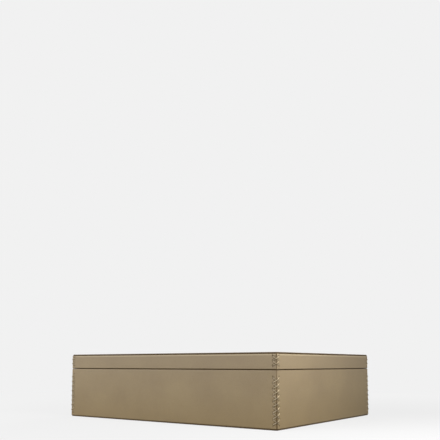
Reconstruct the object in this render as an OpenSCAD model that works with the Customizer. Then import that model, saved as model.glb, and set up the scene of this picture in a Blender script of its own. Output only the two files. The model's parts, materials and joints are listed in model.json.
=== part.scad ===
// Stationery box: a leather-covered box for papers with a flush lid that lifts off.
// X runs along the length, Y along the depth with the front at -Y, and Z is up.
// The origin is the middle of the underside, on the table.

/* [Box] */
// Length over the leather
box_length = 350; // [300:1:420]
// Depth over the leather
box_depth = 270; // [220:1:340]
// Height of the closed box
box_height = 90; // [75:1:140]
// Height of the lid above the middle of the seam
lid_height = 20.5; // [18:0.5:30]
// Open seam between the lid's lower edge and the base's rim
seam_gap = 0.3; // [0.2:0.1:1.2]

/* [Leather] */
// Thickness of the side panels
side_leather = 1.5; // [1.2:0.1:2.2]
// Thickness of the sheet on top
top_leather = 1.5; // [1:0.1:2.4]
// Thickness of the sheet underneath
bottom_leather = 1.5; // [1:0.1:2.4]
// Thickness where the leather is pared for turning in
pared_leather = 0.8; // [0.5:0.1:1]
// How far the base's leather is turned down inside the rim
turn_in = 14; // [8:1:25]
// Bend radius of the leather over the rim and under the lid's edge
bend_radius = 1; // [0.4:0.1:1.1]
// Radius of the rubbed upper edge of the lid's side leather
crown_radius = 0.9; // [0.2:0.1:1.1]
// Step where two side panels meet at a corner
corner_step = 0.7; // [0.2:0.1:1]
// How far the top and bottom sheets stop inside the side faces
sheet_inset = 0.4; // [0:0.1:1]
// Corner radius of the top and bottom sheets in plan
sheet_corner = 2; // [0.5:0.5:4]

/* [Stitching] */
// Width of the flattened thread
thread_width = 0.9; // [0.7:0.05:1.1]
// Thickness of the flattened thread
thread_thickness = 0.44; // [0.3:0.02:0.7]
// Gap between two passes of the thread, and between thread and leather
thread_gap = 0.08; // [0.06:0.02:0.16]
// Distance of the pricked slits from the corner
slit_inset = 5.5; // [4.5:0.1:8]
// Usual distance between two slits, up the corner
stitch_pitch = 6.9; // [5.5:0.1:9]
// Height of the lowest slit above the table
base_stitch_low = 6; // [5:0.5:12]
// Distance of the base's highest slit below the seam
base_stitch_high = 8.5; // [4:0.5:16]
// Distance of the lid's slits from its top
lid_stitch_high = 4.5; // [4:0.1:6]
// Distance of the lid's slits from the seam
lid_stitch_low = 4.5; // [4:0.1:6]

/* [Carcass] */
// Thickness of the base's wall boards
wall_board = 7; // [6:0.5:10]
// Thickness of the floor board
floor_board = 5; // [3:0.5:8]
// Depth of the rebate that takes the floor board
floor_rebate = 3.5; // [2:0.5:4]
// Thickness of the lid's top board
lid_board = 5; // [3:0.5:6]
// Depth of the rebate that takes the lid's top board
lid_rebate = 2.4; // [1.5:0.1:2.6]

/* [Neck and lining] */
// Thickness of the neck boards
neck_board = 2; // [1.5:0.1:4]
// Thickness of the suede
suede = 0.8; // [0.5:0.1:1]
// Thickness of the suede-covered card on the floor
floor_lining = 2; // [1:0.5:5]
// Play between the lid's lining and the neck
neck_clearance = 0.5; // [0.3:0.1:0.8]
// How far the lid's lining stops above its lower edge
lining_setback = 1.4; // [1:0.2:4]

/* [Hidden] */
$fn = 48;

// Heights
seam_z = box_height - lid_height;
rim_z = seam_z - seam_gap / 2;
lid_z = seam_z + seam_gap / 2;
wall_top_z = rim_z - side_leather;
floor_top_z = bottom_leather + floor_board;
inside_low_z = floor_top_z + floor_lining;
lid_sheet_z = box_height - top_leather;
lid_board_z = lid_sheet_z - lid_board;
neck_top_z = lid_board_z - suede;
rail_z = lid_z + pared_leather;

// Distances inwards from the outer face of a side
wall_in = side_leather + wall_board;
turned_in = wall_in - pared_leather;
neck_suede_out = wall_in - suede;
neck_in = wall_in + neck_board;
inside = neck_in + suede;
lining_in = neck_suede_out - neck_clearance;
rail_in = lining_in - suede;

// Thread and the channel in the boards behind it
half_width = thread_width / 2;
half_thickness = thread_thickness / 2;
pass_offset = half_width + thread_gap / 2;
lay = half_thickness + thread_gap / 2;
over_lay = lay + thread_thickness + thread_gap;
slit_height = 2 * (pass_offset + half_width + thread_gap);
slit_width = thread_thickness + 2 * thread_gap;
channel_depth = over_lay + half_thickness + thread_gap;
channel_width = slit_inset + slit_width;
tail = (slit_inset - side_leather) / 3;
cut = 1;

leather_colour = "#988a6e";
edge_colour = "#5e533f";
thread_colour = "#b3a385";
board_colour = "#c9a878";
card_colour = "#b9b2a3";
suede_colour = "#8d8069";

// Sides and their corners

// Turn of a side about the vertical axis, from the front
function turn(side) = side == "front" ? 0 : side == "right" ? 90 : side == "back" ? 180 : 270;

function is_long(side) = side == "front" || side == "back";

// Length of a side, corner to corner
function side_length(side) = is_long(side) ? box_length : box_depth;

// Distance from the middle of the box to a side's outer face
function side_reach(side) = is_long(side) ? box_depth / 2 : box_length / 2;

// Plan of a mitred piece between two distances in from the outer face. Its outer corners can be
// stepped back: step[0] along the face from the box's corner, step[1] inwards.
function mitred_plan(half, near, far, step) =
    let (
        right = step[1] == 0
            ? [[half - near, near]]
            : [
                [half - step[0], near],
                [half - step[0], near + step[1]],
                if (step[0] > near + step[1]) [half - near - step[1], near + step[1]]
            ],
        outer = concat(right, [[half - far, far]]),
        last = len(outer) - 1
    )
    concat(outer, [for (i = [last:-1:0]) [-outer[i][0], outer[i][1]]]);

// Runs a section along one side of the box and mitres its ends. The section's x is the distance
// in from the outer face and its y is the height.
module side_run(side, near, far, step = [0, 0]) {
    half = side_length(side) / 2;
    rotate([0, 0, turn(side)])
        translate([0, -side_reach(side), 0])
            intersection() {
                translate([-half, 0, 0])
                    rotate([90, 0, 90])
                        linear_extrude(2 * half)
                            children();
                translate([0, 0, -cut])
                    linear_extrude(box_height + 2 * cut)
                        polygon(mitred_plan(half, near, far, step));
            }
}

// Rectangle in a section, from two distances inwards and two heights
module band(near, far, low, high) {
    translate([near, low])
        square([far - near, high - low]);
}

// Rounding to take off a section's outer corner, at its upper end or at its lower end
module outer_round(height, radius, upper) {
    translate([0, height])
        mirror([0, upper ? 0 : 1])
            difference() {
                translate([-cut, -radius])
                    square([radius + cut, radius + cut]);
                translate([radius, -radius])
                    circle(radius);
            }
}

// Flat rectangular piece that stays a distance inside the outer faces
module panel(inset, low, high) {
    translate([inset - box_length / 2, inset - box_depth / 2, low])
        cube([box_length - 2 * inset, box_depth - 2 * inset, high - low]);
}

// Leather sheet over the plan of the box, with rounded corners
module sheet(low, high) {
    x = box_length / 2 - sheet_inset;
    y = box_depth / 2 - sheet_inset;
    translate([0, 0, low])
        linear_extrude(high - low)
            union() {
                square([2 * (x - sheet_corner), 2 * y], center = true);
                square([2 * x, 2 * (y - sheet_corner)], center = true);
                for (sx = [-1, 1], sy = [-1, 1])
                    translate([sx * (x - sheet_corner), sy * (y - sheet_corner)])
                        circle(sheet_corner);
            }
}

// Stitching

// Heights of the slits between two ends, spaced as near to the usual pitch as they fit
function slit_heights(low, high) =
    let (count = max(1, round((high - low) / stitch_pitch)))
    [for (i = [0:count]) low + i * (high - low) / count];

base_slits = slit_heights(base_stitch_low, seam_z - base_stitch_high);
lid_slits = slit_heights(seam_z + lid_stitch_low, box_height - lid_stitch_high);

// Pricked slits through the leather at both ends of a side
module slit_rows(side, heights) {
    half = side_length(side) / 2;
    rotate([0, 0, turn(side)])
        translate([0, -side_reach(side), 0])
            for (end = [-1, 1], z = heights)
                translate([end * (half - slit_inset) - slit_width / 2, -cut, z - slit_height / 2])
                    cube([slit_width, side_leather + 2 * cut, slit_height]);
}

// The thread's route in the corner's own frame: the edge of the box is the z axis, one face is
// the plane y = 0 and the other is the plane x = 0, with the box in the quadrant of +x and +y.
// It climbs with one set of diagonals, crosses behind the top slits and comes down over them
// with the other set. Behind the leather the two passes run one behind the other.
function outside(z, depth) = [slit_inset, depth, z];
function flipped(p) = [p[1], p[0], p[2]];

// Two points where a pass crosses the stepped corner, a distance off the leather
function over_corner(start, end, off) =
    let (
        near = corner_step - off * (sqrt(2) - 1),
        run = slit_inset - near,
        across = sqrt(2) * (near + off),
        rise = (end - start) * run / (2 * run + across)
    )
    [[near, -off, start + rise], [-off, near, end - rise]];

function climb(h, i) =
    let (
        start = h[i] + pass_offset,
        end = h[i + 1] - pass_offset,
        behind = side_leather + lay
    )
    [
        outside(start, behind),
        outside(start, -lay),
        each over_corner(start, end, lay),
        flipped(outside(end, -lay)),
        flipped(outside(end, behind)),
        if (i < len(h) - 2) [behind, behind, h[i + 1]]
    ];

function descend(h, i) =
    let (
        start = h[i + 1] - pass_offset,
        end = h[i] + pass_offset,
        behind = side_leather + over_lay
    )
    [
        outside(start, behind),
        outside(start, -lay),
        each over_corner(start, end, over_lay),
        flipped(outside(end, -lay)),
        flipped(outside(end, behind)),
        if (i > 0) [behind, behind, h[i]]
    ];

function flat(list) = [for (part = list) for (p = part) p];

function route(h) =
    let (
        n = len(h) - 2,
        low = side_leather + lay,
        high = side_leather + over_lay,
        top = h[n + 1] - pass_offset,
        bottom = h[0] + pass_offset
    )
    flat([
        [[slit_inset - tail, low, bottom]],
        flat([for (i = [0:n]) climb(h, i)]),
        [[high, high, top]],
        flat([for (i = [n:-1:0]) descend(h, i)]),
        [[high, slit_inset - tail, bottom]]
    ]);

function unit(v) = v / norm(v);

// Level direction from one point of a route to the next
function level_step(points, i) =
    let (d = points[i + 1] - points[i])
    unit([d[0], d[1]]);

// Level normal of the route at a point, lengthened so that the thread keeps its thickness
// through a bend
function bend_normal(points, i) =
    let (
        last = len(points) - 1,
        before = level_step(points, max(i - 1, 0)),
        after = level_step(points, min(i, last - 1)),
        middle = unit(before + after)
    )
    [-middle[1], middle[0]] / (middle * after);

SIDES = 6;

function thread_ring(points, i) =
    let (n = bend_normal(points, i))
    [
        for (s = [0:SIDES - 1])
            let (
                across = half_thickness * cos(360 * s / SIDES),
                up = half_width * sin(360 * s / SIDES)
            )
            points[i] + [n[0] * across, n[1] * across, up]
    ];

// One unbroken thread along a route
module thread(points) {
    rings = len(points);
    last = (rings - 1) * SIDES;
    polyhedron(
        points = flat([for (i = [0:rings - 1]) thread_ring(points, i)]),
        faces = [
            [for (s = [0:SIDES - 1]) s],
            [for (s = [SIDES - 1:-1:0]) last + s],
            for (i = [0:rings - 2], s = [0:SIDES - 1])
                let (
                    a = i * SIDES + s,
                    b = i * SIDES + (s + 1) % SIDES
                )
                each [[a, b + SIDES, b], [a, a + SIDES, b + SIDES]]
        ]
    );
}

// Places the thread at the corner that is at a side's left end, seen from outside
module corner_thread(side, heights) {
    color(thread_colour)
        rotate([0, 0, turn(side)])
            translate([-side_length(side) / 2, -side_reach(side), 0])
                thread(route(heights));
}

// Base

module base_floor_board() {
    color(board_colour)
        panel(wall_in - floor_rebate, bottom_leather, floor_top_z);
}

module wall(side) {
    color(board_colour)
        side_run(side, side_leather, wall_in, [channel_width, channel_depth])
            difference() {
                band(side_leather, wall_in, bottom_leather, wall_top_z);
                band(wall_in - floor_rebate, wall_in + cut, bottom_leather - cut, floor_top_z);
                band(turned_in, wall_in + cut, rim_z - turn_in, wall_top_z + cut);
            }
}

module base_front_wall() {
    wall("front");
}

module base_back_wall() {
    wall("back");
}

module base_left_wall() {
    wall("left");
}

module base_right_wall() {
    wall("right");
}

module base_bottom_leather() {
    color(edge_colour)
        sheet(0, bottom_leather);
}

// Side panel of the base: up the wall, over the rim and down behind it
module base_leather(side) {
    color(leather_colour)
        difference() {
            side_run(side, 0, wall_in, [corner_step, corner_step])
                difference() {
                    union() {
                        band(0, side_leather, bottom_leather, rim_z);
                        band(0, wall_in, wall_top_z, rim_z);
                        band(turned_in, wall_in, rim_z - turn_in, rim_z);
                    }
                    outer_round(rim_z, bend_radius, true);
                }
            slit_rows(side, base_slits);
        }
}

module base_front_leather() {
    base_leather("front");
}

module base_back_leather() {
    base_leather("back");
}

module base_left_leather() {
    base_leather("left");
}

module base_right_leather() {
    base_leather("right");
}

module base_front_left_stitching() {
    corner_thread("front", base_slits);
}

module base_front_right_stitching() {
    corner_thread("right", base_slits);
}

module base_back_right_stitching() {
    corner_thread("back", base_slits);
}

module base_back_left_stitching() {
    corner_thread("left", base_slits);
}

// Neck and floor lining

module neck(side) {
    color(card_colour)
        side_run(side, wall_in, neck_in)
            band(wall_in, neck_in, floor_top_z, neck_top_z - suede);
}

module neck_front_board() {
    neck("front");
}

module neck_back_board() {
    neck("back");
}

module neck_left_board() {
    neck("left");
}

module neck_right_board() {
    neck("right");
}

// Suede over the neck: up the inside, over the top edge and down to the rim
module neck_suede(side) {
    color(suede_colour)
        side_run(side, neck_suede_out, inside)
            union() {
                band(neck_in, inside, floor_top_z, neck_top_z);
                band(neck_suede_out, inside, neck_top_z - suede, neck_top_z);
                band(neck_suede_out, wall_in, rim_z, neck_top_z);
            }
}

module neck_front_suede() {
    neck_suede("front");
}

module neck_back_suede() {
    neck_suede("back");
}

module neck_left_suede() {
    neck_suede("left");
}

module neck_right_suede() {
    neck_suede("right");
}

module floor_lining() {
    color(suede_colour)
        panel(inside, floor_top_z, inside_low_z);
}

// Lid

module lid_top_board() {
    color(board_colour)
        panel(rail_in - lid_rebate, lid_board_z, lid_sheet_z);
}

module rail(side) {
    color(board_colour)
        side_run(side, side_leather, rail_in, [channel_width, channel_depth])
            difference() {
                band(side_leather, rail_in, rail_z, lid_sheet_z);
                band(rail_in - lid_rebate, rail_in + cut, lid_board_z, lid_sheet_z + cut);
            }
}

module lid_front_rail() {
    rail("front");
}

module lid_back_rail() {
    rail("back");
}

module lid_left_rail() {
    rail("left");
}

module lid_right_rail() {
    rail("right");
}

module lid_top_leather() {
    color(edge_colour)
        sheet(lid_sheet_z, box_height);
}

// Side strip of the lid: down the rail and under its lower edge
module lid_leather(side) {
    color(leather_colour)
        difference() {
            side_run(side, 0, rail_in, [corner_step, corner_step])
                difference() {
                    union() {
                        band(0, side_leather, lid_z, lid_sheet_z);
                        band(0, rail_in, lid_z, rail_z);
                    }
                    outer_round(lid_z, bend_radius, false);
                    outer_round(lid_sheet_z, crown_radius, true);
                }
            slit_rows(side, lid_slits);
        }
}

module lid_front_leather() {
    lid_leather("front");
}

module lid_back_leather() {
    lid_leather("back");
}

module lid_left_leather() {
    lid_leather("left");
}

module lid_right_leather() {
    lid_leather("right");
}

module lid_front_left_stitching() {
    corner_thread("front", lid_slits);
}

module lid_front_right_stitching() {
    corner_thread("right", lid_slits);
}

module lid_back_right_stitching() {
    corner_thread("back", lid_slits);
}

module lid_back_left_stitching() {
    corner_thread("left", lid_slits);
}

module lid_top_lining() {
    color(suede_colour)
        panel(rail_in, neck_top_z, lid_board_z);
}

module lid_lining(side) {
    color(suede_colour)
        side_run(side, rail_in, lining_in)
            band(rail_in, lining_in, lid_z + lining_setback, neck_top_z);
}

module lid_front_lining() {
    lid_lining("front");
}

module lid_back_lining() {
    lid_lining("back");
}

module lid_left_lining() {
    lid_lining("left");
}

module lid_right_lining() {
    lid_lining("right");
}

base_floor_board();
base_front_wall();
base_back_wall();
base_left_wall();
base_right_wall();
base_bottom_leather();
base_front_leather();
base_back_leather();
base_left_leather();
base_right_leather();
base_front_left_stitching();
base_front_right_stitching();
base_back_left_stitching();
base_back_right_stitching();
neck_front_board();
neck_back_board();
neck_left_board();
neck_right_board();
neck_front_suede();
neck_back_suede();
neck_left_suede();
neck_right_suede();
floor_lining();
lid_top_board();
lid_front_rail();
lid_back_rail();
lid_left_rail();
lid_right_rail();
lid_top_leather();
lid_front_leather();
lid_back_leather();
lid_left_leather();
lid_right_leather();
lid_front_left_stitching();
lid_front_right_stitching();
lid_back_left_stitching();
lid_back_right_stitching();
lid_top_lining();
lid_front_lining();
lid_back_lining();
lid_left_lining();
lid_right_lining();
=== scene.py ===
# %% [markdown]
# A stationery box covered in calf leather, with corners laced by hand.
# The wooden box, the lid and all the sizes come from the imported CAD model, which is loaded first and
# never moved. This lesson adds what a leather worker adds: the covering, the lacing and the lining.
# Everything is in metres, but sizes are written in millimetres, as a maker would give them.

# %% Load the box
import json
import math

import bmesh
import bpy
import numpy as np
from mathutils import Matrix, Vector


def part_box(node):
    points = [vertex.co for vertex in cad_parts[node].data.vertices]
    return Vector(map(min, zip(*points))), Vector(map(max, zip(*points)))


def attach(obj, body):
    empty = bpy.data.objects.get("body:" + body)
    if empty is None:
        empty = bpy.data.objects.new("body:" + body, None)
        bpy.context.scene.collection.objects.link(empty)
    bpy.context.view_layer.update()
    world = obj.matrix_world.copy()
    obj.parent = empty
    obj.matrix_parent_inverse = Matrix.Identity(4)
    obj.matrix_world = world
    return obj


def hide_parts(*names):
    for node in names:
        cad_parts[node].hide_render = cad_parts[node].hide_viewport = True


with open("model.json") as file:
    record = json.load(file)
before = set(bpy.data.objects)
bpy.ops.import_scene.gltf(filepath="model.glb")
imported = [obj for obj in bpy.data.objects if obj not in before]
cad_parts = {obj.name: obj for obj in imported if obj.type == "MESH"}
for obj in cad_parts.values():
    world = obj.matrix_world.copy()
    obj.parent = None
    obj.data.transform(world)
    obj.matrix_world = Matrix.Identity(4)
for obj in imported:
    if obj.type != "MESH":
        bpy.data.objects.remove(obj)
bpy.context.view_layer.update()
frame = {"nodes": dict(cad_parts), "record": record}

# %% [markdown]
# Each piece of the real box has a place in the CAD model, so nothing here is measured twice. The
# record says which body carries a piece and which finish it wears, and a node's box gives its size.
# Leather, lining and thread are shown by pieces made here. Boards stay as they are and get a finish.

# %% Read the sizes
MM = 0.001
SIDES = ["front", "right", "back", "left"]

record = frame["record"]
body_of = {n: body for body, nodes in record["behaviour"]["bodies"].items() for n in nodes}
slot_of = {part["node"]: part["material_slot"] for part in record["subparts"]}


def box_mm(node):
    """Lowest and highest corner of a CAD node, in millimetres."""
    return [np.round(np.array(corner) / MM, 3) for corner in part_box(node)]


def new_object(name, data):
    """An object that is linked into the scene."""
    made = bpy.data.objects.new(name, data)
    bpy.context.scene.collection.objects.link(made)
    return made


half_length = box_mm("base_right_leather")[1][0]
half_depth = -box_mm("base_front_leather")[0][1]
print("box over the leather:", 2 * half_length, "by", 2 * half_depth, "mm")

# %% [markdown]
# The camera stands a little over the table, by the near corner, so both faces recede. It points up
# slightly, and the lens is shifted up so that the box lies low in the picture, as in the photograph.

# %% Camera
camera_place = (0.5332, -0.7466, 0.0760)
camera_turn = 35.64
camera_pitch = 5.0
lens_mm = 49.97
lens_shift = 0.206

camera = new_object("camera", bpy.data.cameras.new("camera"))
bpy.context.scene.camera = camera
camera.location = camera_place
camera.rotation_euler = (math.radians(90 + camera_pitch), 0, math.radians(camera_turn))
camera.data.sensor_width = 36
camera.data.lens = lens_mm
camera.data.shift_y = lens_shift
camera.data.clip_start = 0.01
print("camera", camera_place, "lens", lens_mm, "mm")

# %% [markdown]
# A material is a small network of nodes that ends in a shader. One function adds a node with its
# settings and links, and another makes the material round its shader, so each network stays readable.
# Colours are written as sRGB hex values, as picked on screen, and turned into the linear numbers that
# shaders want.

# %% Helpers for materials
# Numbers of a Mix node's sockets for colours
RGBA_A, RGBA_B, RGBA_RESULT = 6, 7, 2


def linear(hex_colour):
    """Linear colour with full alpha from an sRGB hex value."""
    parts = [int(hex_colour[i:i + 2], 16) / 255 for i in (1, 3, 5)]
    return [p / 12.92 if p <= 0.04045 else ((p + 0.055) / 1.055) ** 2.4 for p in parts] + [1.0]


def add(tree, kind, inputs=None, **settings):
    """Adds a node to a tree. An input is given by name or number, as a value or as a socket to link."""
    made = tree.nodes.new("ShaderNode" + kind)
    for name, value in settings.items():
        setattr(made, name, value)
    for key, value in (inputs or {}).items():
        if isinstance(value, bpy.types.NodeSocket):
            tree.links.new(value, made.inputs[key])
        else:
            made.inputs[key].default_value = value
    return made


def make_material(name, build):
    """A material with the shader that a function builds in its tree, from the place on the object."""
    material = bpy.data.materials.new(name)
    material.use_nodes = True
    tree = material.node_tree
    tree.nodes.clear()
    shader = build(tree, add(tree, "TexCoord").outputs["Object"])
    add(tree, "OutputMaterial", {"Surface": shader.outputs[0]})
    return material


def per_metre(size_mm):
    """Scale of a texture whose features are that many millimetres apart."""
    return 1 / (size_mm * MM)


print("white is", linear("#ffffff"))

# %% [markdown]
# The covering is full-grain calf, drum-dyed taupe, lightly pigmented and ironed smooth. That gives an
# even colour with soft clouds a few centimetres wide, a very fine grain of pores and creases, and a
# soft broad shine. The grain's creases are painted a little darker, as shade. The colour is painted
# browner and darker towards the foot, as painted shade, and greyer towards the top, as a painted
# sheen. The real grain is a fifth of a millimetre across and can't show, so it is drawn coarser. Two
# marks painted on the mesh steer the rest: stain and painted shade, where a cut edge was dyed dark and
# rubbed and where shade falls, and painted highlight, where a proud edge catches the light.

# %% Calf leather
def calf_leather(tree, place):
    grain_mm = 1.1
    wander_mm = 3 * grain_mm
    bend_mm = 0.7 * grain_mm
    fibre_mm = 0.9
    brushing_mm = 9
    cloud_mm = 48
    height = add(tree, "SeparateXYZ", {0: place}).outputs["Z"]
    painted_highlight = add(tree, "Attribute", attribute_name="painted_highlight").outputs["Fac"]
    stain_and_shade = add(tree, "Attribute", attribute_name="stain_and_shade").outputs["Fac"]
    wander = add(tree, "TexNoise", {"Vector": place, "Scale": per_metre(wander_mm), "Detail": 2})
    bent = add(tree, "VectorMath", {
        0: wander.outputs["Color"], 1: [bend_mm * MM] * 3}, operation="MULTIPLY")
    warped = add(tree, "VectorMath", {0: place, 1: bent.outputs[0]}, operation="ADD").outputs[0]
    cells = add(tree, "TexVoronoi", {
        "Vector": warped, "Scale": per_metre(grain_mm)}, feature="DISTANCE_TO_EDGE")
    creases = add(tree, "MapRange", {
        "Value": cells.outputs["Distance"], "From Max": 0.18}, interpolation_type="SMOOTHSTEP")
    fibres = add(tree, "TexNoise", {"Vector": place, "Scale": per_metre(fibre_mm), "Detail": 4})
    brushed = add(tree, "TexNoise", {"Vector": place, "Scale": per_metre(brushing_mm), "Detail": 3})
    clouds = add(tree, "TexNoise", {
        "Vector": place, "Scale": per_metre(cloud_mm), "Detail": 4, "Roughness": 0.55})

    # What each layer of colour follows, the values at which it starts and is full, and its strength
    layers = [(clouds.outputs["Fac"], 0.3, 0.7, 1, "#938263"),
              (brushed.outputs["Fac"], 0.35, 0.65, 0.16, "#8c7d66"),
              # The foot is painted browner and darker, as painted shade, and the top greyer, as a
              # painted sheen
              (height, 45 * MM, 4 * MM, 0.42, "#7f6a40"),
              (height, 50 * MM, 80 * MM, 0.35, "#8e806b"),
              # The grain's creases are painted darker, as shade in them
              (creases.outputs[0], 1, 0, 0.18, "#65543a"),
              # A painted highlight where a proud edge catches the light
              (painted_highlight, 0, 1, 1, "#b4a588"),
              # Stain, where an edge was dyed, and painted shade
              (stain_and_shade, 0, 1, 1, "#45320f")]
    colour = linear("#867559")
    for follows, start, full, strength, over in layers:
        amount = add(tree, "MapRange", {
            "Value": follows, "From Min": start, "From Max": full, "To Max": strength})
        colour = add(tree, "Mix", {
            0: amount.outputs[0], RGBA_A: colour, RGBA_B: linear(over)},
            data_type="RGBA").outputs[RGBA_RESULT]

    dull = add(tree, "MapRange", {
        "Value": clouds.outputs["Fac"], "From Min": 0.3, "From Max": 0.7, "To Min": 0.57,
        "To Max": 0.63})
    heights = add(tree, "Math", {
        0: fibres.outputs["Fac"], 1: 0.35, 2: creases.outputs[0]}, operation="MULTIPLY_ADD")
    grain = add(tree, "Bump", {
        "Height": heights.outputs[0], "Strength": 0.35, "Distance": 0.05 * MM})
    waves = add(tree, "Bump", {
        "Height": brushed.outputs["Fac"], "Strength": 0.5, "Distance": 0.12 * MM,
        "Normal": grain.outputs[0]})
    return add(tree, "BsdfPrincipled", {
        "Base Color": colour, "Roughness": dull.outputs[0], "IOR": 1.42,
        "Normal": waves.outputs[0]})


calf = make_material("calf, drum-dyed and ironed", calf_leather)
print("made", calf.name)

# %% [markdown]
# The lacing is a flat linen thread, drawn through beeswax. Its three plies show as slanting ridges,
# which are painted lighter, and the hollows between them are painted darker, as light and shade. The
# ridges follow the thread, so their pattern is worked out from a map laid along it: millimetres run
# along it, and one turn goes round it.

# %% Waxed linen thread
def waxed_linen(tree, place):
    plies = 3
    ply_pitch_mm = 1.5
    fibre_mm = 0.4
    wound = add(tree, "UVMap", uv_map="along_and_round").outputs[0]
    parts = add(tree, "SeparateXYZ", {0: wound})
    along = add(tree, "Math", {
        0: parts.outputs["X"], 1: math.tau / ply_pitch_mm}, operation="MULTIPLY")
    phase = add(tree, "Math", {
        0: parts.outputs["Y"], 1: math.tau * plies, 2: along.outputs[0]}, operation="MULTIPLY_ADD")
    wave = add(tree, "Math", {0: phase.outputs[0]}, operation="SINE")
    ridge = add(tree, "MapRange", {"Value": wave.outputs[0], "From Min": -1, "From Max": 1})
    fibres = add(tree, "TexNoise", {"Vector": place, "Scale": per_metre(fibre_mm), "Detail": 3})
    uneven = add(tree, "MapRange", {
        "Value": fibres.outputs["Fac"], "From Min": 0.3, "From Max": 0.7, "To Max": 0.25})
    stain_and_shade = add(tree, "Attribute", attribute_name="stain_and_shade").outputs["Fac"]
    colour = linear("#a89776")
    # Ridges painted lighter and hollows darker, as light and shade, then uneven tone, then stain and
    # shade
    for amount, over in ((ridge.outputs[0], "#e6d7b6"), (uneven.outputs[0], "#bcab8a"),
                         (stain_and_shade, "#453313")):
        colour = add(tree, "Mix", {
            0: amount, RGBA_A: colour, RGBA_B: linear(over)}, data_type="RGBA").outputs[RGBA_RESULT]
    bump = add(tree, "Bump", {"Height": ridge.outputs[0], "Strength": 0.7, "Distance": 0.1 * MM})
    return add(tree, "BsdfPrincipled", {
        "Base Color": colour, "Roughness": 0.5, "IOR": 1.45, "Normal": bump.outputs[0]})


thread_finish = make_material("linen thread, waxed", waxed_linen)
print("made", thread_finish.name)

# %% [markdown]
# Inside, the box is lined with split suede. It is leather with its fibres raised into a short nap, so
# it is matt from the front, glows a little at a slant, and keeps the marks of the last hand that
# stroked it: patches where the nap leans another way, which are painted lighter as a painted sheen.
# The low parts of the nap are painted darker, as shade.

# %% Suede
def split_suede(tree, place):
    nap_mm = 0.8
    stroke_mm = 26
    nap = add(tree, "TexNoise", {
        "Vector": place, "Scale": per_metre(nap_mm), "Detail": 5, "Roughness": 0.7})
    strokes = add(tree, "TexNoise", {
        "Vector": place, "Scale": per_metre(stroke_mm), "Detail": 2, "Distortion": 1.2})
    nap_sheen = add(tree, "MapRange", {
        "Value": strokes.outputs["Fac"], "From Min": 0.35, "From Max": 0.65},
        interpolation_type="SMOOTHSTEP")
    nap_shade = add(tree, "MapRange", {
        "Value": nap.outputs["Fac"], "From Min": 0.6, "From Max": 0.35, "To Max": 0.4})
    colour = linear("#877a61")
    # Patches of painted sheen, then painted shade in the nap's low parts
    for amount, over in ((nap_sheen.outputs[0], "#92856c"), (nap_shade.outputs[0], "#5f543f")):
        colour = add(tree, "Mix", {
            0: amount, RGBA_A: colour, RGBA_B: linear(over)}, data_type="RGBA").outputs[RGBA_RESULT]
    bump = add(tree, "Bump", {"Height": nap.outputs["Fac"], "Strength": 0.6, "Distance": 0.25 * MM})
    return add(tree, "BsdfPrincipled", {
        "Base Color": colour, "Roughness": 0.95, "IOR": 1.4, "Sheen Weight": 0.35,
        "Sheen Roughness": 0.45, "Sheen Tint": linear("#d8cdb6"), "Normal": bump.outputs[0]})


suede_finish = make_material("suede, split and brushed", split_suede)
print("made", suede_finish.name)

# %% [markdown]
# The carcass is planed poplar, with faint growth bands stretched along the boards. The neck is grey
# board, the flecked pressed pulp that bookbinders use. Both are covered all over, but the part may be
# looked at in pieces, so they are finished too.

# %% Poplar and grey board
def planed_poplar(tree, place):
    band_mm = 5
    pore_mm = 0.8
    stretch = 14
    along = add(tree, "Mapping", {"Vector": place, "Scale": [1 / stretch, 1 / stretch, 1]})
    bands = add(tree, "TexNoise", {
        "Vector": along.outputs[0], "Scale": per_metre(band_mm), "Detail": 4, "Distortion": 0.4})
    pores = add(tree, "TexNoise", {
        "Vector": along.outputs[0], "Scale": per_metre(pore_mm), "Detail": 2})
    tone = add(tree, "MapRange", {"Value": bands.outputs["Fac"], "From Min": 0.3, "From Max": 0.7})
    colour = add(tree, "Mix", {
        0: tone.outputs[0], RGBA_A: linear("#bd9a68"), RGBA_B: linear("#d3b483")},
        data_type="RGBA").outputs[RGBA_RESULT]
    bump = add(tree, "Bump", {
        "Height": pores.outputs["Fac"], "Strength": 0.4, "Distance": 0.08 * MM})
    return add(tree, "BsdfPrincipled", {
        "Base Color": colour, "Roughness": 0.6, "IOR": 1.5, "Normal": bump.outputs[0]})


def grey_board(tree, place):
    fleck_mm = 1.5
    flecks = add(tree, "TexNoise", {"Vector": place, "Scale": per_metre(fleck_mm), "Detail": 4})
    tone = add(tree, "MapRange", {
        "Value": flecks.outputs["Fac"], "From Min": 0.35, "From Max": 0.65})
    colour = add(tree, "Mix", {
        0: tone.outputs[0], RGBA_A: linear("#a39d90"), RGBA_B: linear("#bdb7aa")},
        data_type="RGBA").outputs[RGBA_RESULT]
    bump = add(tree, "Bump", {
        "Height": flecks.outputs["Fac"], "Strength": 0.4, "Distance": 0.1 * MM})
    return add(tree, "BsdfPrincipled", {
        "Base Color": colour, "Roughness": 0.85, "IOR": 1.45, "Normal": bump.outputs[0]})


FINISHES = {"leather": calf, "leather_sheet": calf, "thread": thread_finish,
            "suede": suede_finish, "wood": make_material("poplar, planed", planed_poplar),
            "card": make_material("grey board, pressed", grey_board)}
for name, node in frame["nodes"].items():
    node.data.materials.clear()
    node.data.materials.append(FINISHES[slot_of[name]])
print("finishes:", sorted(m.name for m in set(FINISHES.values())))

# %% [markdown]
# Every new piece is made the same way from points and faces. Its folds are kept sharp where two faces
# meet at more than a set angle, and smooth elsewhere. It rides on the body of the node that it stands
# for, and takes that node's finish. Marks are numbers per point that the finish can read.

# %% Make a piece from points and faces
SHARP_FOLD = math.radians(38)


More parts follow.
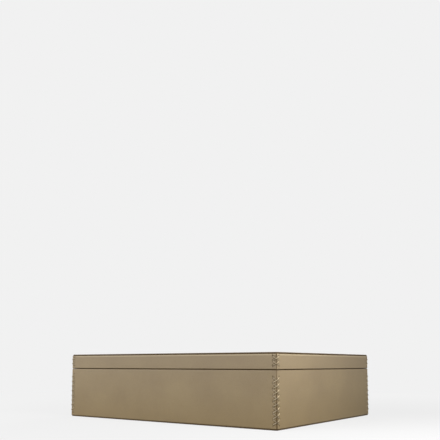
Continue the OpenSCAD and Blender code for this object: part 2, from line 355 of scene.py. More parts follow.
def add_piece(node, points, faces, marks=None, wound=None):
    """Makes the piece that stands for a CAD node, from points in millimetres."""
    mesh = bpy.data.meshes.new("finished_" + node)
    mesh.from_pydata((np.asarray(points) * MM).tolist(), [], faces)
    for name, values in (marks or {}).items():
        mesh.attributes.new(name, "FLOAT", "POINT").data.foreach_set("value", values)
    if wound is not None:
        mesh.uv_layers.new(name="along_and_round").uv.foreach_set("vector", np.ravel(wound))
    shape = bmesh.new()
    shape.from_mesh(mesh)
    if wound is None:
        bmesh.ops.recalc_face_normals(shape, faces=shape.faces)
    for face in shape.faces:
        face.smooth = True
    for edge in shape.edges:
        edge.smooth = edge.is_manifold and edge.calc_face_angle() < SHARP_FOLD
    shape.to_mesh(mesh)
    shape.free()
    mesh.materials.append(FINISHES[slot_of[node]])
    piece = new_object("finished_" + node, mesh)
    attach(piece, body_of[node])
    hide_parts(node)
    return piece


print("pieces will ride on:", sorted(set(body_of.values())))

# %% [markdown]
# A leather panel has two faces that lie a thickness apart, so it is built from two grids of points
# with the same rows and columns: one face shows and one is glued. Cells left out of both grids make a
# hole, and a wall is added wherever a kept cell has no neighbour. One rule then makes the sheet's own
# edges and the walls of every hole. Flat pieces and threads are tubes instead: rings of points, joined
# one to the next and closed at both ends.

# %% Sheets and tubes
def thick_sheet(shown, glued, holes=()):
    """Points and faces of a sheet between two grids of points, with some cells left out."""
    rows, columns = shown.shape[:2]
    points = np.concatenate([shown.reshape(-1, 3), glued.reshape(-1, 3)])
    behind = rows * columns
    kept = {(r, c) for r in range(rows - 1) for c in range(columns - 1)} - set(holes)
    faces = []
    for r, c in sorted(kept):
        a, b = r * columns + c, r * columns + c + 1
        d, e = a + columns, b + columns
        faces.append((a, b, e, d))
        faces.append((behind + d, behind + e, behind + b, behind + a))
        beside = {(r - 1, c): (b, a), (r, c + 1): (e, b), (r + 1, c): (d, e), (r, c - 1): (a, d)}
        for cell, (start, end) in beside.items():
            if cell not in kept:
                faces.append((start, end, behind + end, behind + start))
    return points, faces


def tube_faces(rings, around):
    """Faces of a tube of rings, with that many points round each, and then of its two ends."""
    faces = []
    for ring in range(rings - 1):
        for i in range(around):
            a, b = ring * around + i, ring * around + (i + 1) % around
            faces.append((a, b, b + around, a + around))
    last = (rings - 1) * around
    return faces + [tuple(range(around))[::-1], tuple(range(last, last + around))]


def turned(points, side):
    """Points of a side, given along it, inwards from its face and up, in the box's own frame."""
    reach = half_depth if side in ("front", "back") else half_length
    angle = math.radians(90 * SIDES.index(side))
    along, inwards, up = np.moveaxis(points, -1, 0)
    out = inwards - reach
    return np.stack([along * math.cos(angle) - out * math.sin(angle),
                     along * math.sin(angle) + out * math.cos(angle), up], axis=-1)


def half_run(side):
    """Half the length of a side, corner to corner."""
    return half_length if side in ("front", "back") else half_depth


def quarter(centre, radius, start, end, steps=5):
    """Points round an arc in a section, between two angles in degrees."""
    angles = np.radians(np.linspace(start, end, steps + 1))
    return [(centre[0] + radius * math.cos(a), centre[1] + radius * math.sin(a)) for a in angles]


print("a side's half lengths:", half_run("front"), half_run("right"))

# %% [markdown]
# The slits for the lacing are pricked with a diamond awl, so each is a small upright lens, which two
# passes of the thread fill. A corner's thread starts half a gap above the middle of the lowest slits
# and ends half a gap below the middle of the highest, so its own box gives their levels.

# %% Slits
slit_inset = 5.5
slit_width = 0.6
slit_height = 2.04
stitch_pitch = 6.9
thread_gap = 0.08


def slit_levels(lacing):
    """Heights of the slits that a corner's lacing goes through."""
    low, high = (corner[2] for corner in box_mm(lacing))
    low, high = low - thread_gap / 2, high + thread_gap / 2
    return np.linspace(low, high, round((high - low) / stitch_pitch) + 1)


base_levels = slit_levels("base_front_left_stitching")
lid_levels = slit_levels("lid_front_left_stitching")
print("slits of the base:", base_levels.round(2), "and of the lid:", lid_levels.round(2))

# %% [markdown]
# A side's covering is one section run along the side, with mitred ends. Its rows go up the wall and
# round the fold. Its columns are close together near the corners, where there is lacing, and far
# apart between. At the corner the leather's edge is rounded over, and the two edges meet in a thin
# dark joint. The rows are close all the way up, since each stitch leaves its mark in the leather.

# %% Columns and rows of a covering
edge_round = 0.6
edge_depth = 0.42
mitre_gap = 0.08
fold_radius = 1.0
gathered_zone = 4
lacing_zone = 14
coarse_column = 18
row_step = 0.6

round_angles = np.radians(np.linspace(90, 0, 6))
round_columns = edge_round * (1 - np.sin(round_angles))
before_slit = [1.4, 1.8, 2.3, 2.9, 3.5, 4.1, 4.7]
slit_edges = [slit_inset - slit_width / 2, slit_inset + slit_width / 2]
past_slit = [6.2, 6.7, 7.3, 8.2, 9.4, 11, 12.5, lacing_zone]
wall_columns = np.array(before_slit + slit_edges + past_slit) - edge_depth
slit_column = len(round_columns) + len(before_slit)
slit_rows = slit_height / 2 * np.array([-1, -0.66, 0, 0.66, 1])

# How the columns lie near a corner: their distances from the mitre, the edge's depth at each, where
# they start on a wall, how far from the corner they are drawn together on a wall, and how far at all.
laced_end = {"columns": np.concatenate([round_columns, wall_columns]),
             "depth": np.concatenate([edge_depth * (1 - np.cos(round_angles)), 0 * wall_columns]),
             "start": edge_depth, "near": gathered_zone, "zone": lacing_zone}


def wall_heights(low, high, levels):
    """Heights of the rows between two ends: lines at each slit, and even steps between them."""
    lines = [low, *(level + step for level in levels for step in slit_rows), high]
    heights = [low]
    for start, end in zip(lines, lines[1:]):
        count = max(1, round((end - start) / row_step))
        heights += list(np.linspace(start, end, count + 1)[1:])
    return heights


print("columns near a corner:", len(laced_end["columns"]), "slit between columns",
      slit_column, "and", slit_column + 1)

# %% [markdown]
# Thread under tension shapes the leather: each stitch pulls it in round its slit and where it bends
# over the corner, and the leather puffs up a little between one slit and the next. Two bell curves,
# one across and one up the wall, give each of these. The slit itself is a lens.

# %% Shape of the leather round the stitches
# Depth and spread of the dimple at a slit, the puff between slits and the pinch over the corner
dimple = 0.3
dimple_spread = 1.3
dimple_towards_corner = 2.0
puff = 0.16
puff_inset = 3.9
puff_across = 1.6
puff_up = 1.7
pinch = 0.2
pinch_across = 1.0
pinch_up = 0.9

# How near the slit's end a row counts as part of it, and how blunt the lens is there
row_slack = 0.01
lens_blunt = 0.05


def bell(distance, spread):
    """A smooth bump: 1 at no distance, a third at the spread and near 0 at twice that."""
    return np.exp(-(distance / spread) ** 2)


def between(levels):
    """Heights halfway between one slit and the next, where the thread crosses over itself."""
    return (levels[1:] + levels[:-1]) / 2


def pucker(from_corner, height, levels):
    """How far the stitches pull the leather in at a point of the wall."""
    across = np.where(from_corner > slit_inset, dimple_spread, dimple_towards_corner)
    pulled = bell(from_corner - slit_inset, across) * bell(height - levels, dimple_spread).max()
    off = height - between(levels)
    swollen = bell(from_corner - puff_inset, puff_across) * bell(off, puff_up).max()
    pressed = bell(from_corner - edge_round, pinch_across) * bell(off, pinch_up).max()
    return dimple * pulled - puff * swollen + pinch * pressed


def lens_half_width(height, levels):
    """Half the width between the two columns that border the slits, at a height."""
    off = abs(height - levels).min()
    if off > slit_rows[-1] + row_slack:
        return slit_width / 2
    return slit_width / 2 * math.sqrt(1 - (off / (slit_rows[-1] + lens_blunt)) ** 2)


print("pulled in at a slit:", round(float(pucker(slit_inset, base_levels[0], base_levels)), 2), "mm")

# %% [markdown]
# Now the grid itself. Each row is a point of the section, with the direction into the leather there.
# The row's ends lie on the mitre, so a row that is further inwards is shorter, and its columns are
# drawn together to fit. The same function serves the linings, which have no slits.

# %% Run a section along a side
pressed_fold = 0.6


def into_sheet(section):
    """Unit directions into the sheet at each point of a section that has the sheet on its right."""
    steps = np.gradient(np.asarray(section, float), axis=0)
    steps /= np.linalg.norm(steps, axis=1)[:, None]
    return np.stack([steps[:, 1], -steps[:, 0]], axis=1)


def side_grid(side, section, folded, end, levels=None, shown=True):
    """Points where a section of (inwards, height) runs along a side between its mitres. folded
    says how far round the fold each row is, from 0 on the wall to 1 past it. A fold is pressed, so
    its edges are rounded less."""
    half = half_run(side)
    count = round(2 * (half - end["zone"]) / coarse_column)
    middle = np.linspace(end["zone"] - half, half - end["zone"], count + 1)[1:-1]
    rows = []
    for (depth, height), inward, fold in zip(section, into_sheet(section), folded):
        off = end["depth"] * (1 - pressed_fold * fold) * shown
        first = depth + inward[0] * off[0] + mitre_gap
        drawn = end["near"] + (end["zone"] - end["near"]) * fold
        u = np.where(end["columns"] < drawn - end["start"],
                     first + end["columns"] * (drawn - first) / (drawn - end["start"]),
                     end["start"] + end["columns"])
        if levels is not None and fold == 0:
            width = lens_half_width(height, levels)
            u[slit_column:slit_column + 2] = slit_inset - width, slit_inset + width
            off = off + pucker(u, height, levels) * shown
        x = np.concatenate([u - half, middle, (half - u)[::-1]])
        off = np.concatenate([off, 0 * middle, off[::-1]])
        rows.append(np.stack([x, depth + inward[0] * off, height + inward[1] * off], axis=-1))
    return np.array(rows)


def slit_cells(section, folded, columns, levels):
    """Cells of a covering's grid, on the wall, that are left out for its slits."""
    found = []
    for row, ((_, low), (_, high)) in enumerate(zip(section, section[1:])):
        on_wall = folded[row] == folded[row + 1] == 0
        if on_wall and abs((low + high) / 2 - levels).min() < slit_rows[-1]:
            found += [(row, slit_column), (row, columns - 2 - slit_column)]
    return found


print("into a sheet that runs up the wall:", into_sheet([(0, 0), (0, 1)])[0])

# %% [markdown]
# Leather shows its making at its edges, and shade gathers there. Where two panels meet at a corner
# their cut edges were stained dark, and painted shade is added in the joint, more so low down and in
# small pits just above and below each crossing of the thread. Painted shade also lies beside each pass
# of the thread, in the fork where the passes part, at the slits' ends and inside the slits. The seam's
# folds get painted shade, and an edge that stands proud, such as the lid's upper one, gets a painted
# highlight. The long sides get more of the painted shade than the short ones. All this is painted
# per point.

# %% Marks of stain, painted shade and painted highlight
# Where the painted shade lies, how dark it is and how far it spreads, across the wall and up it
slit_shade = 0.9
slit_end = 1.35
slit_end_shade = 0.7
slit_end_spread = (0.7, 0.5)
beside_thread = 0.75
beside_shade = 0.75
shade_width = 0.4
fork_inset = 3.3
fork_shade = 0.85
fork_spread = (1.2, 0.8)
laced_margin = 1
knot_off = 1.6
knot_spread = 0.7
knot_swell = 0.5
# How much of the painted shade each side gets: more on the long sides, which are lit less
shade_by_side = {"front": 1.0, "back": 1.0, "left": 0.65, "right": 0.65}

# Heights up the box, and at each how dark a corner's joint is and how far its dye and painted shade
# reach from it
mark_heights = [5, 40, 70, 90]
joint_darkness = [1, 0.95, 0.6, 1]
joint_reach = [0.76, 0.48, 0.336, 0.76]


def off_nearest(height, levels):
    """How far each height is from the nearest level."""
    return abs(height[..., None] - levels).min(axis=-1)


def blot(from_place, up_from_place, spread):
    """A soft mark round a place, with its spread across the wall and up it."""
    return bell(from_place, spread[0]) * bell(up_from_place, spread[1])


def thread_shade(from_corner, height, levels):
    """Painted shade beside the passes of thread, in the fork where they part and at the slits' ends."""
    rise = (levels[1] - levels[0]) / 2 * (1 - from_corner / slit_inset)
    off_pass = abs(abs(height[..., None] - levels) - rise[..., None]).min(axis=-1)
    laced = ((from_corner < slit_inset) & (height > levels[0] - laced_margin)
             & (height < levels[-1] + laced_margin))
    beside = bell(off_pass - beside_thread, shade_width)
    fork = blot(from_corner - fork_inset, off_nearest(height, between(levels)), fork_spread)
    ends = blot(from_corner - slit_inset, off_nearest(height, levels) - slit_end, slit_end_spread)
    return np.maximum(laced * np.maximum(beside_shade * beside, fork_shade * fork),
                      slit_end_shade * ends)


def joint_dye_and_shade(from_mitre, height, levels, spread):
    """Dye and painted shade along a corner's joint, wider where a crossing of the thread rests."""
    knots = bell(off_nearest(height, between(levels)) - knot_off, knot_spread)
    reach = spread * np.interp(height, mark_heights, joint_reach) * (1 + knot_swell * knots)
    return np.interp(height, mark_heights, joint_darkness) * bell(from_mitre, reach)


def edge_marks(grid, side, levels, holes, ink_and_shade, highlighted):
    """Stain, painted shade and highlight of a covering's points, first the shown and then the glued."""
    columns = grid.shape[1]
    from_mitre = np.full(columns, half_run(side))
    from_mitre[:len(laced_end["columns"])] = laced_end["columns"]
    from_mitre = np.minimum(from_mitre, from_mitre[::-1])
    height = grid[..., 2]
    joint = joint_dye_and_shade(from_mitre, height, levels, shade_by_side[side])
    beside = shade_by_side[side] * thread_shade(half_run(side) - abs(grid[..., 0]), height, levels)
    stain_and_shade = np.maximum(np.maximum(joint, beside), np.asarray(ink_and_shade)[:, None])
    # The slits are painted dark inside, as shade
    for row, column in holes:
        stain_and_shade[row:row + 2, column:column + 2] = slit_shade
    # The painted highlight lies along the rows of proud edges, except where there is stain or shade
    painted_highlight = np.tile(np.asarray(highlighted)[:, None], (1, columns)) * (1 - stain_and_shade)
    return {"stain_and_shade": np.concatenate([stain_and_shade.ravel(), np.full(stain_and_shade.size, slit_shade)]),
            "painted_highlight": np.concatenate([painted_highlight.ravel(), np.zeros(stain_and_shade.size)])}


def add_coverings(part, levels, shown_section, glued_section, ink_and_shade, highlighted):
    """Makes the four side leathers of a part from the sections of their shown and glued faces."""
    folded = [min(1, depth / fold_radius) for depth, _ in shown_section]
    for side in SIDES:
        shown = side_grid(side, shown_section, folded, laced_end, levels)
        glued = side_grid(side, glued_section, folded, laced_end, levels, shown=False)
        holes = slit_cells(shown_section, folded, shown.shape[1], levels)
        points, faces = thick_sheet(shown, glued, holes)
        marks = edge_marks(shown, side, levels, holes, ink_and_shade, highlighted)
        add_piece(f"{part}_{side}_leather", turned(points, side), faces, marks)
    return len(faces)


print("dye reaches", joint_reach, "mm from the corner at heights", mark_heights)

# %% [markdown]
# The base's covering goes up the wall, folds over the rim and turns down behind it. The part that
# turns down was pared thin, as a leather worker does before folding, so its section is written twice:
# once for the face that shows, and once, point for point, for the face that is glued to the board.
# A fold is never quite flat on top. It swells a little towards the lid, so no light comes through.

# %% Coverings of the base
base_side = box_mm("base_front_leather")
foot_z, rim_z = base_side[0][2], base_side[1][2]
board_top = box_mm("base_front_wall")[1][2]
leather = round(rim_z - board_top, 3)
wall_in = round(base_side[1][1] + half_depth, 3)
pared = 0.8
turn_in = 14
foot_round = 0.3
inner_fold = 0.3
swell = 0.1
swell_start = 1.8
swell_end_share = 0.8

# How dark the painted shade and how strong the painted highlight is at each row round the fold, from
# the wall to the seam, and how dark the ink and painted shade are at each row round the foot
seam_shade = [0.1, 0.5, 0.9, 1, 1, 1]
seam_highlight = [0.2, 0.1, 0, 0, 0, 0]
foot_ink_and_shade = [1, 0.9, 0.7, 0.5]


def base_sections():
    """Sections of the shown and the glued face, and each row's ink, painted shade and painted
    highlight.
    """
    foot = quarter((foot_round, foot_z + foot_round), foot_round, 270, 180, steps=3)
    walls = wall_heights(foot[-1][1], rim_z - fold_radius, base_levels)[1:-1]
    over = quarter((fold_radius, rim_z - fold_radius), fold_radius, 180, 90)
    back = quarter((wall_in - inner_fold, rim_z - inner_fold), inner_fold, 90, 0)
    down = [rim_z - turn_in * share for share in (0.2, 0.6, 1)]
    swollen = [(swell_start, rim_z + swell), (wall_in / 2, rim_z + swell)]
    shown = (foot + [(0, z) for z in walls] + over + swollen + back
             + [(wall_in, z) for z in down])
    turned_in = wall_in - pared
    glued = ([(leather, z) for _, z in foot] + [(leather, z) for z in walls]
             + quarter((leather + inner_fold, board_top - inner_fold), inner_fold, 180, 90)
             + [(leather + swell_start, board_top), (wall_in / 2, board_top)]
             + quarter((turned_in - inner_fold, board_top - inner_fold), inner_fold, 90, 0)
             + [(turned_in, z) for z in down])
    behind = [0] * (len(shown) - len(foot) - len(walls) - len(seam_shade))
    ink_and_shade = foot_ink_and_shade + [0] * len(walls) + seam_shade + behind
    highlighted = [0] * (len(foot) + len(walls)) + seam_highlight + behind
    return shown, glued, ink_and_shade, highlighted


face_count = add_coverings("base", base_levels, *base_sections())
print("leather", leather, "mm, rim at", rim_z, "mm, faces of a side:", face_count)

# %% [markdown]
# The lid's side strips fold the other way, under its lower edge. Their upper edge is left raw under
# the top sheet, rubbed round and inked like the sheet's own edge, and painted darker still as the
# shade under the sheet, so the two read as one dark line. Just below it a painted highlight lies on
# the leather, where the rounded edge catches the light.

# %% Coverings of the lid
lid_side = box_mm("lid_front_leather")
lid_z, crown_z = lid_side[0][2], lid_side[1][2]
rail_in = round(lid_side[1][1] + half_depth, 3)
rail_z = box_mm("lid_front_rail")[0][2]
crown_radius = 0.9

# How dark the ink and painted shade are at each row round the crown, and how strong the painted
# highlight is at the last rows of the wall and the first of the crown
crown_ink_and_shade = [0.2, 0.65, 1, 1, 1, 1, 1]
crown_highlight = [0, 0.45, 0.9, 0.9]


def lid_sections():
    """The same for the lid, from under its edge up to the top sheet."""
    under = [(rail_in, lid_z), (rail_in * swell_end_share, lid_z - swell), (swell_start, lid_z - swell)]
    fold = quarter((fold_radius, lid_z + fold_radius), fold_radius, 270, 180)
    walls = wall_heights(lid_z + fold_radius, crown_z - crown_radius, lid_levels)[1:-1]
    crown = quarter((crown_radius, crown_z - crown_radius), crown_radius, 180, 90, steps=6)
    shown = under + fold + [(0, z) for z in walls] + crown
    glued = ([(max(depth, leather + inner_fold), rail_z) for depth, _ in under]
             + quarter((leather + inner_fold, rail_z + inner_fold), inner_fold, 270, 180)
             + [(leather, z) for z in walls]
             + [(leather, z) for z in np.linspace(crown_z - crown_radius, crown_z, len(crown))])
    ink_and_shade = [0] * len(under) + seam_shade[::-1] + [0] * len(walls) + crown_ink_and_shade
    clear = [0] * (len(walls) + 1 - len(crown_highlight))
    highlighted = [0] * len(under) + seam_highlight[::-1] + clear + crown_highlight + [0] * (len(crown) - 1)
    return shown, glued, ink_and_shade, highlighted


face_count = add_coverings("lid", lid_levels, *lid_sections())
print("seam", round(lid_z - rim_z, 3), "mm wide, faces of a strip:", face_count)

# %% [markdown]
# The sheets on top and underneath, and the suede panels, are flat pieces with rounded corners. Each
# is a stack of outlines: every outline is the same rounded rectangle, set in by a little more where
# the edge is rounded. A last ring inside the edge keeps the rounding's shading off the flat.

# %% Flat sheets with rounded edges
flat_margin = 3
least_corner = 0.2
stained_share = 0.7


def rounded_outline(half_x, half_y, radius, steps=8):
    """Points round a rectangle with rounded corners."""
    outline = []
    for sign_x, sign_y, start in ((1, 1, 0), (-1, 1, 90), (-1, -1, 180), (1, -1, 270)):
        centre = (sign_x * (half_x - radius), sign_y * (half_y - radius))
        outline += quarter(centre, radius, start, start + 90, steps)
    return np.array(outline)


def add_flat(node, corner, rounding, stained=False):
    """Makes the flat piece that stands for a CAD node, in the same box."""
    low, high = box_mm(node)
    arc = quarter((rounding, high[2] - rounding), rounding, 90, 180)
    rings = [(flat_margin, high[2])] + arc
    rings += [(inset, low[2] + high[2] - z) for inset, z in reversed(rings)]
    points, stain_and_shade = [], []
    for inset, z in rings:
        radius = max(corner - inset, least_corner)
        outline = rounded_outline(high[0] - inset, high[1] - inset, radius)
        points += [(x, y, z) for x, y in outline]
        stain_and_shade += [stained * float(inset < stained_share * rounding)] * len(outline)
    marks = {"stain_and_shade": stain_and_shade, "painted_highlight": [0.0] * len(stain_and_shade)}
    add_piece(node, points, tube_faces(len(rings), len(outline)), marks)


for node in ("lid_top_leather", "base_bottom_leather"):
    add_flat(node, corner=2, rounding=0.35, stained=True)
for node in ("floor_lining", "lid_top_lining"):
    add_flat(node, corner=0.6, rounding=0.3)
print("sheets are", box_mm("lid_top_leather")[1] * 2, "mm")

# %% [markdown]
# Suede covers the neck: up its outer face from the rim, over its top edge and down the inside to the
# floor. The lid's rails have a plain strip each. These are sections run along a side again, with a
# finer, plain end at the mitre.

# %% Linings along the sides
neck = box_mm("neck_front_suede")
neck_board = box_mm("neck_front_board")
strip = box_mm("lid_front_lining")
top_round = 0.6
board_round = 0.2
strip_round = 0.4
plain_zone = 20
plain_edge = 0.25
plain_edge_spread = 0.12
plain_columns = np.array([0, 0.08, 0.3, 1, 3, 8, plain_zone])
plain_end = {"columns": plain_columns, "depth": plain_edge * bell(plain_columns, plain_edge_spread),
             "start": 0, "near": plain_zone, "zone": plain_zone}


def add_lining(node, side, shown_section, glued_section):
    """Makes a side's lining from the section of its shown face and that of its glued face."""
    flat = [0] * len(shown_section)
    shown = side_grid(side, shown_section, flat, plain_end)
    glued = side_grid(side, glued_section, flat, plain_end, shown=False)
    points, faces = thick_sheet(shown, glued)
    add_piece(node, turned(points, side), faces)


def neck_sections():
    """Sections of the suede's shown face, and of its glued face, which is the board's own."""
    low, high = neck
    sides = [rim_z, (rim_z + high[2]) / 2]
    falls = [low[2] + (high[2] - low[2]) * share for share in (0.7, 0.3, 0)]
    sections = []
    for (first, last), radius in ((neck, top_round), (neck_board, board_round)):
        outer, inner, top = first[1] + half_depth, last[1] + half_depth, last[2]
        sections.append([(outer, z) for z in sides]
                        + quarter((outer + radius, top - radius), radius, 180, 90)
                        + quarter((inner - radius, top - radius), radius, 90, 0)
                        + [(inner, z) for z in falls])
    return sections


def strip_sections():
    """Sections of a strip's shown face and of its glued face."""
    (_, outer, low), (_, inner, high) = strip + np.array([0, half_depth, 0])
    flat = [high, (low + high) / 2]
    end = quarter((inner - strip_round, low + strip_round), strip_round, 0, -90)
    shown = [(inner, z) for z in flat] + end
    glued = [(outer, z) for z in flat + list(np.linspace(low + strip_round, low, len(end)))]
    return shown, glued


for side in SIDES:
    add_lining(f"neck_{side}_suede", side, *neck_sections())
    add_lining(f"lid_{side}_lining", side, *strip_sections())
print("neck stands", round(neck[1][2] - rim_z, 2), "mm above the rim")

# %% [markdown]
# The lacing is one thread at each corner. It climbs with one set of diagonals, each going over the
# corner from a slit on one face to the next slit up on the other, crosses behind the top slits, and
# comes down over itself with the other set. Its route is worked out from the slits' levels, in the
# corner's own frame: the box's edge is the z axis, and the box lies towards +x and +y. A pass is
# drawn in plan on one face, from its slit to the corner, and mirrored for the other face. It lies
# close: it comes up out of the slit, rests on the leather and is pressed thin where it crosses.

# %% Route of the lacing
thread_width = 0.9
thread_thickness = 0.44
pressed_thin = 0.75
pass_offset = (thread_width + thread_gap) / 2
lay = (thread_thickness + thread_gap) / 2
pressed_lay = 0.8 * lay
rising_lay = 0.9 * lay
over_lay = lay + thread_thickness + thread_gap
corner_lay = pressed_thin * lay
crossing_gap = 0.02
corner_over = corner_lay + pressed_thin * thread_thickness + crossing_gap
pulled_in = 0.9
emerging = 1.2
rising = 2.1
slit_bend = 0.45
rest_bend = 0.4
crossing_bend = 0.5


def flipped(point):
    return (point[1], point[0], point[2])


def near_corner(off):
    """Plan point where a pass turns over the corner, a distance off the pulled-in leather."""
    return (pulled_in - off * (math.sqrt(2) - 1), -off)


# Both start in the slit and rest on the leather. The upper one rises near the corner.
start_plan = [(slit_inset, dimple - lay), (slit_inset - emerging, -pressed_lay)]
under_plan = start_plan + [near_corner(corner_lay)]
over_plan = start_plan + [(rising, -rising_lay), near_corner(corner_over)]


def one_pass(start, end, height, behind, plan):
    """From behind a slit on one face, over the corner, to behind a slit on the other face."""
    steps = [math.dist(a, b) for a, b in zip(plan, plan[1:])]
    half = sum(steps) + (plan[-1][0] - plan[-1][1]) / math.sqrt(2)
    bends = [slit_bend] + [rest_bend] * (len(plan) - 2) + [crossing_bend]
    out = [((slit_inset, behind, start), slit_bend)]
    back = [(flipped((slit_inset, behind, end)), slit_bend)]
    for i, ((x, y), bend) in enumerate(zip(plan, bends)):
        rise = (end - start) * sum(steps[:i]) / (2 * half)
        out.append(((x, y, start + rise), bend))
        back.append((flipped((x, y, end - rise)), bend))
    return out + back[::-1] + [((behind, behind, height), slit_bend)]


def lacing_route(levels):
    """Points of a corner's thread, each with how far from it the thread starts to bend."""
    low, high = leather + lay, leather + over_lay
    tail = (slit_inset - leather) / 3
    first, last = levels[0] + pass_offset, levels[-1] - pass_offset
    up = [point for a, b in zip(levels, levels[1:])
          for point in one_pass(a + pass_offset, b - pass_offset, b, low, under_plan)]
    down = [point for a, b in zip(levels[::-1], levels[-2::-1])
            for point in one_pass(a - pass_offset, b + pass_offset, b, high, over_plan)]
    return ([((slit_inset - tail, low, first), 0)] + up[:-1] + [((high, high, last), slit_bend)]
            + down[:-1] + [((high, slit_inset - tail, first), 0)])


def eased(route, steps=5, most=0.48):
    """Points of a route whose bends are drawn as short curves, up to a share of each straight."""
    points = np.array([point for point, _ in route])
    path = [points[0]]
    for before, here, after, (_, bend) in zip(points, points[1:], points[2:], route[1:]):
        back, on = before - here, after - here
        back_length, on_length = np.linalg.norm(back), np.linalg.norm(on)
        start = here + back / back_length * min(bend, most * back_length)
        end = here + on / on_length * min(bend, most * on_length)
        for t in np.linspace(0, 1, steps + 1):
            path.append((1 - t) ** 2 * start + 2 * t * (1 - t) * here + t ** 2 * end)
    return np.array(path + [points[-1]])


route = lacing_route(base_levels)
print("thread of a base corner:",
      round(float(np.linalg.norm(np.diff(eased(route), axis=0), axis=1).sum())), "mm long")

# %% [markdown]
# A flattened oval is swept along the route. It stays upright, as a thread that lies flat on both
# faces does, so its wide way is square to the route and its thin way is level. Long straight runs are
# cut into short steps, so that the plies keep an even scale. The crossings over the corner are
# pressed thinner and a little wider. Near the corner the thread is painted darker, as shade where it
# presses into the corner, and the passes underneath are painted darker than those on top, as the
# shadow that the upper passes cast on them. The thread on the long sides gets more of this painted
# shade, the lid's thread is a little darker, and the thread in the slits and behind the leather is
# painted fully dark, as shade.

# %% Sweep the thread
ring_sides = 12
thread_step = 0.5
pressed_reach = 1.3
# Painted shade on the thread of the long sides, and a little darkening on the lid
long_side_shade = 0.3
lid_darkening = 0.2

# How much painted shade the passes that lie on top and those underneath get where they cross, at the
# heights of the marks, how far from the corner that reaches, and how much they get all along
passes = {"over": {"painted_shade": [0.95, 0.75, 0.2, 0.9], "reach": 1.2, "least": 0.0},
          "under": {"painted_shade": [1, 1, 0.85, 1], "reach": 2.9, "least": 0.55}}


def stepped(path):
    """A path with its long runs cut into steps."""
    points = [path[0]]
    for start, end in zip(path, path[1:]):
        count = max(1, round(np.linalg.norm(end - start) / thread_step))
        points += [start + (end - start) * i / count for i in range(1, count + 1)]
    return np.array(points)


def add_lacing(node, side, levels):
    """Makes a corner's thread, at the left end of a side seen from outside."""
    path = stepped(eased(lacing_route(levels)))
    along = np.concatenate([[0], np.cumsum(np.linalg.norm(np.diff(path, axis=0), axis=1))])
    forward = np.gradient(path, axis=0)
    forward /= np.linalg.norm(forward, axis=1)[:, None]
    wide = np.array([0, 0, 1]) - forward * forward[:, 2:]
    wide /= np.linalg.norm(wide, axis=1)[:, None]
    thick = np.cross(forward, wide)
    turns = np.arange(ring_sides) / ring_sides
    from_corner = np.hypot(path[:, 0], path[:, 1])
    outside = np.minimum(path[:, 0], path[:, 1]) < leather / 2
    thin = (1 - (1 - pressed_thin) * bell(from_corner, pressed_reach) * outside)[:, None]
    across = np.cos(math.tau * turns) * thread_thickness / 2 * thin
    up = np.sin(math.tau * turns) * thread_width / 2 * np.sqrt(2 - thin)
    rings = path[:, None] + thick[:, None] * across[..., None] + wide[:, None] * up[..., None]
    crossed = {}
    for name, shade_of_pass in passes.items():
        near = np.interp(path[:, 2], mark_heights, shade_of_pass["painted_shade"]) * bell(from_corner, shade_of_pass["reach"])
        crossed[name] = np.maximum(near, shade_of_pass["least"])
    # The passes underneath, the first half of the thread, take the heavier painted shade
    painted_shade = np.where(along < along[-1] / 2, crossed["under"], crossed["over"])
    on_long_side = (path[:, 0] > path[:, 1]) == (side in ("front", "back"))
    darker_by_place = long_side_shade * on_long_side + lid_darkening * (path[:, 2] > rim_z)
    # Thread in the slits and behind the leather is painted fully dark, as shade
    painted_shade = np.where(outside, np.maximum(painted_shade, darker_by_place), 1)
    wound = []
    for start, end in zip(along, along[1:]):
        for turn, next_turn in zip(turns, [*turns[1:], 1]):
            wound += [(start, turn), (start, next_turn), (end, next_turn), (end, turn)]
    wound += [(0, 0)] * ring_sides + [(along[-1], 0)] * ring_sides
    points = turned(rings.reshape(-1, 3) - [half_run(side), 0, 0], side)
    marks = {"stain_and_shade": np.repeat(painted_shade, ring_sides)}
    return add_piece(node, points, tube_faces(len(path), ring_sides), marks, wound)


for part, levels in (("base", base_levels), ("lid", lid_levels)):
    for corner, side in (("front_left", "front"), ("front_right", "right"),
                         ("back_right", "back"), ("back_left", "left")):
        piece = add_lacing(f"{part}_{corner}_stitching", side, levels)
print("faces of a lid corner's thread:", len(piece.data.polygons))

# %% [markdown]
# The photograph's background is one flat pale grey, so the floor and the world give the camera that
# grey directly. Round the box the floor keeps some real shading, for the box's shadow, and this fades
# out further away, so that no horizon shows. Other rays see a darker floor and a dim world, so that
# neither washes out the box.

# %% Floor and world
background = linear("#f1f1f1")
floor_shading = 0.10
floor_glow = 0.85
shaded_to, glowing_from = 0.3, 0.9
floor_size = 6
world_light = 0.15


def paper_backdrop(tree, place):
    ray = add(tree, "LightPath").outputs
    seen = add(tree, "Math", {
        0: ray["Is Camera Ray"], 1: ray["Is Glossy Ray"]}, operation="MAXIMUM")
    glow = add(tree, "Emission", {"Color": [c * floor_glow for c in background[:3]] + [1]})
    shaded = add(tree, "BsdfDiffuse", {"Color": [floor_shading] * 3 + [1]})
    near_floor = add(tree, "AddShader", {0: glow.outputs[0], 1: shaded.outputs[0]})
    far_floor = add(tree, "Emission", {"Color": background})
    away = add(tree, "VectorMath", {0: place}, operation="LENGTH")
    fade = add(tree, "MapRange", {
        "Value": away.outputs["Value"], "From Min": shaded_to, "From Max": glowing_from},
        interpolation_type="SMOOTHSTEP")
    seen_floor = add(tree, "MixShader", {
        0: fade.outputs[0], 1: near_floor.outputs[0], 2: far_floor.outputs[0]})
    dim_floor = add(tree, "BsdfDiffuse", {"Color": linear("#79746c")})
    return add(tree, "MixShader", {
        0: seen.outputs[0], 1: dim_floor.outputs[0], 2: seen_floor.outputs[0]})


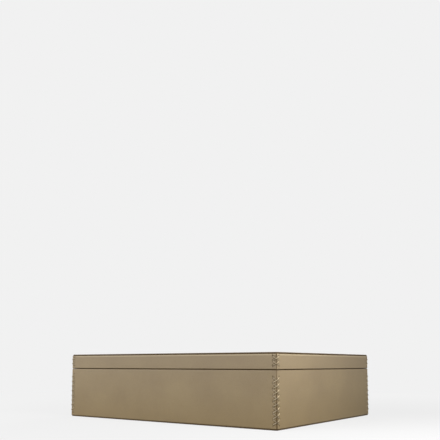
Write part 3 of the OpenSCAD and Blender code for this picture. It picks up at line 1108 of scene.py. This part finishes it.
corners = [(x * floor_size, y * floor_size, 0) for x, y in ((-1, -1), (1, -1), (1, 1), (-1, 1))]
floor_mesh = bpy.data.meshes.new("floor")
floor_mesh.from_pydata(corners, [], [(0, 1, 2, 3)])
floor_mesh.materials.append(make_material("pale paper backdrop", paper_backdrop))
new_object("floor", floor_mesh)

world = bpy.data.worlds.new("studio")
bpy.context.scene.world = world
world.use_nodes = True
tree = world.node_tree
tree.nodes.clear()
ray = add(tree, "LightPath").outputs
seen = add(tree, "Math", {0: ray["Is Camera Ray"], 1: ray["Is Glossy Ray"]}, operation="MAXIMUM")
seen = add(tree, "Math", {0: seen.outputs[0], 1: ray["Is Transmission Ray"]}, operation="MAXIMUM")
pale = add(tree, "Background", {"Color": background})
dim = add(tree, "Background", {"Color": linear("#ffffff"), "Strength": world_light})
mixed = add(tree, "MixShader", {0: seen.outputs[0], 1: dim.outputs[0], 2: pale.outputs[0]})
add(tree, "OutputWorld", {"Surface": mixed.outputs[0]})
print("background", [round(c, 3) for c in background[:3]])

# %% [markdown]
# Five soft lamps light the box as a small product studio would. The key hangs on the right, close to
# the near corner, so the short side is brightest there and falls off towards its far end. A wide lamp
# in front evens out the long side. The others fill in: one overhead for the lid, and one for each of
# the two sides that the picture doesn't show.

# %% Lamps
def add_lamp(name, place, aim, width, height, watts):
    """A rectangular lamp at a place, facing a point."""
    light = bpy.data.lights.new(name, "AREA")
    light.shape = "RECTANGLE"
    light.size, light.size_y, light.energy = width, height, watts
    lamp = new_object(name, light)
    place, aim = np.array(place), np.array(aim)
    lamp.location = place
    away = place - aim
    flat = math.hypot(away[0], away[1])
    lamp.rotation_euler = (math.atan2(flat, away[2]), 0, math.atan2(away[0], -away[1]))


# Each lamp's name, place, aim, width, height and watts
add_lamp("key", (0.45, -0.17, 0.32), (0.175, -0.14, 0.05), 0.22, 0.22, 2.55)
add_lamp("fill", (-0.5, -1.0, 0.65), (-0.05, -0.135, 0.05), 0.8, 0.6, 13.2)
add_lamp("overhead", (0, 0, 1.6), (0, 0, 0), 1.4, 1.4, 2)
add_lamp("behind", (-0.25, 1.1, 0.4), (-0.02, 0.135, 0.05), 0.8, 0.5, 10)
add_lamp("left", (-1.2, -0.1, 0.4), (-0.175, 0, 0.05), 0.8, 0.5, 7)

# %% [markdown]
# Colours are shown as written, so the view transform is the plain one.

# %% Finish
bpy.context.scene.view_settings.view_transform = "Standard"
